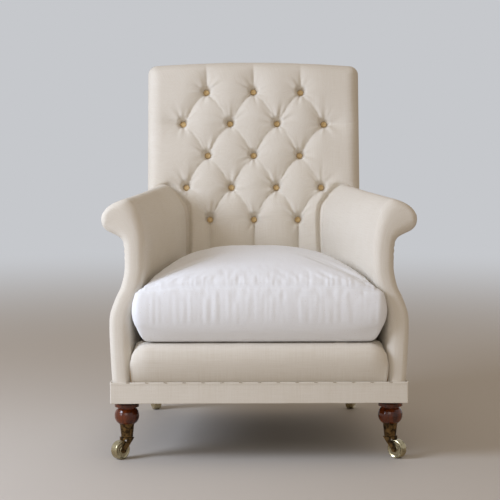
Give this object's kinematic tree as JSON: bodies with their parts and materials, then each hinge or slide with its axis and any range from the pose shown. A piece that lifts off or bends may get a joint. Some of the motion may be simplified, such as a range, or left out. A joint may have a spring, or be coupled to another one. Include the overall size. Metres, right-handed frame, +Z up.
{
  "type": "upholstered armchair",
  "caption": "Deep-buttoned calico easy chair with rolled arms, a loose feather seat cushion, turned mahogany front legs and swivelling brass castors.",
  "frame": {"origin": "on the floor, under the middle of the chair's bounding box", "axes": "+Z up, -Y the way the chair faces, +X towards the right arm as seen from the front"},
  "size_m": [0.7548, 0.8418, 0.966],
  "materials": {
    "calico": "plain unbleached cotton, matt",
    "cushion_cotton": "white cotton over feather, matt",
    "button_cotton": "tan covered buttons, matt",
    "webbing_jute": "woven jute, matt",
    "hessian": "coarse hessian, matt",
    "bottom_cloth": "black cotton, matt",
    "beech": "planed and bare",
    "mahogany": "turned and french polished, glossy",
    "aged_brass": "cast, browned with age",
    "worn_brass": "turned, tread worn bright",
    "spring_steel": "drawn wire, dull"
  },
  "bodies": {
    "chair": {"front_rail": "beech", "back_rail": "beech", "side_rail_left": "beech", "side_rail_right": "beech", "corner_blocks": "beech", "arm_post_left": "beech", "arm_post_right": "beech", "arm_rail_left": "beech", "arm_rail_right": "beech", "arm_tack_rail_left": "beech", "arm_tack_rail_right": "beech", "back_post_left": "beech", "back_post_right": "beech", "back_top_rail": "beech", "back_tack_rail": "beech", "seat_webbing": "webbing_jute", "seat_springs": "spring_steel", "seat_hessian": "hessian", "seat_deck": "calico", "back_webbing": "webbing_jute", "back_hessian": "hessian", "back_pad": "calico", "back_buttons": "button_cotton", "arm_pad_left": "calico", "arm_pad_right": "calico", "arm_front_left": "calico", "arm_front_right": "calico", "outer_arm_left": "calico", "outer_arm_right": "calico", "outer_back": "calico", "front_apron": "calico", "side_apron_left": "calico", "side_apron_right": "calico", "back_apron": "calico", "bottom_cloth": "bottom_cloth", "front_leg_left": "mahogany", "front_leg_right": "mahogany", "rear_leg_left": "mahogany", "rear_leg_right": "mahogany", "front_cup_left": "aged_brass", "front_cup_right": "aged_brass", "rear_cup_left": "aged_brass", "rear_cup_right": "aged_brass", "cup_screws": "aged_brass"},
    "cushion": {"seat_cushion": "cushion_cotton"},
    "front_left_castor": {"front_fork_left": "aged_brass", "front_axle_left": "aged_brass"},
    "front_left_wheel_body": {"front_wheel_left": "worn_brass"},
    "front_right_castor": {"front_fork_right": "aged_brass", "front_axle_right": "aged_brass"},
    "front_right_wheel_body": {"front_wheel_right": "worn_brass"},
    "rear_left_castor": {"rear_fork_left": "aged_brass", "rear_axle_left": "aged_brass"},
    "rear_left_wheel_body": {"rear_wheel_left": "worn_brass"},
    "rear_right_castor": {"rear_fork_right": "aged_brass", "rear_axle_right": "aged_brass"},
    "rear_right_wheel_body": {"rear_wheel_right": "worn_brass"}
  },
  "joints": [
    {"name": "cushion_slide", "type": "slide", "parent": "chair", "child": "cushion", "axis": [0, -0.9995, 0.0314], "range_m": [0, 0.62]},
    {"name": "front_left_swivel", "type": "hinge", "parent": "chair", "child": "front_left_castor", "pos_m": [-0.32087, -0.3289, 0.05], "axis": [0, 0, 1], "continuous": true},
    {"name": "front_left_spin", "type": "hinge", "parent": "front_left_castor", "child": "front_left_wheel_body", "pos_m": [-0.33643, -0.34445, 0.023], "axis": [-0.7071, 0.7071, 0], "continuous": true},
    {"name": "front_right_swivel", "type": "hinge", "parent": "chair", "child": "front_right_castor", "pos_m": [0.32087, -0.3289, 0.05], "axis": [0, 0, 1], "continuous": true},
    {"name": "front_right_spin", "type": "hinge", "parent": "front_right_castor", "child": "front_right_wheel_body", "pos_m": [0.33643, -0.34445, 0.023], "axis": [0.7071, 0.7071, 0], "continuous": true},
    {"name": "rear_left_swivel", "type": "hinge", "parent": "chair", "child": "rear_left_castor", "pos_m": [-0.266, 0.2746, 0.05], "axis": [0, 0, 1], "continuous": true},
    {"name": "rear_left_spin", "type": "hinge", "parent": "rear_left_castor", "child": "rear_left_wheel_body", "pos_m": [-0.27352, 0.29528, 0.023], "axis": [0.9397, 0.342, 0], "continuous": true},
    {"name": "rear_right_swivel", "type": "hinge", "parent": "chair", "child": "rear_right_castor", "pos_m": [0.266, 0.2746, 0.05], "axis": [0, 0, 1], "continuous": true},
    {"name": "rear_right_spin", "type": "hinge", "parent": "rear_right_castor", "child": "rear_right_wheel_body", "pos_m": [0.27352, 0.29528, 0.023], "axis": [-0.9397, 0.342, 0], "continuous": true}
  ]
}
